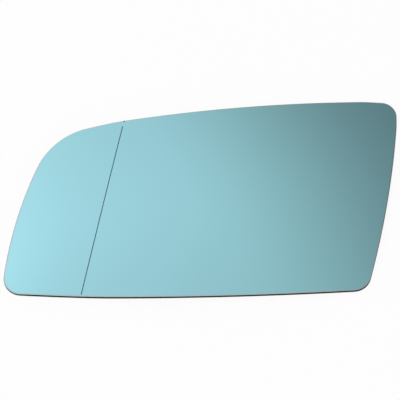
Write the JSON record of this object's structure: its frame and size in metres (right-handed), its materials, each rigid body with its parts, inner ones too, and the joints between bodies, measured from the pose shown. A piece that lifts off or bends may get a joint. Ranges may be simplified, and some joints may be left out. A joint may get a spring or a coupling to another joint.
{
  "type": "car door mirror glass",
  "caption": "Blue-tinted convex mirror pane for a car's left door mirror, with a ground rim and a fine slanting line outboard of which the glass bends away faster.",
  "frame": {"origin": "the middle of the pane's plan box, on the surface it lies on", "axes": "+X towards the inboard end, +Y towards the top edge, +Z out of the convex front"},
  "size_m": [0.1882, 0.1038, 0.0069],
  "materials": {
    "mirror_coat": "polished blue-tinted mirror coat on glass, with a ground rim and a lacquered back"
  },
  "bodies": {
    "root": {"mirror_glass": "mirror_coat"}
  },
  "joints": []
}
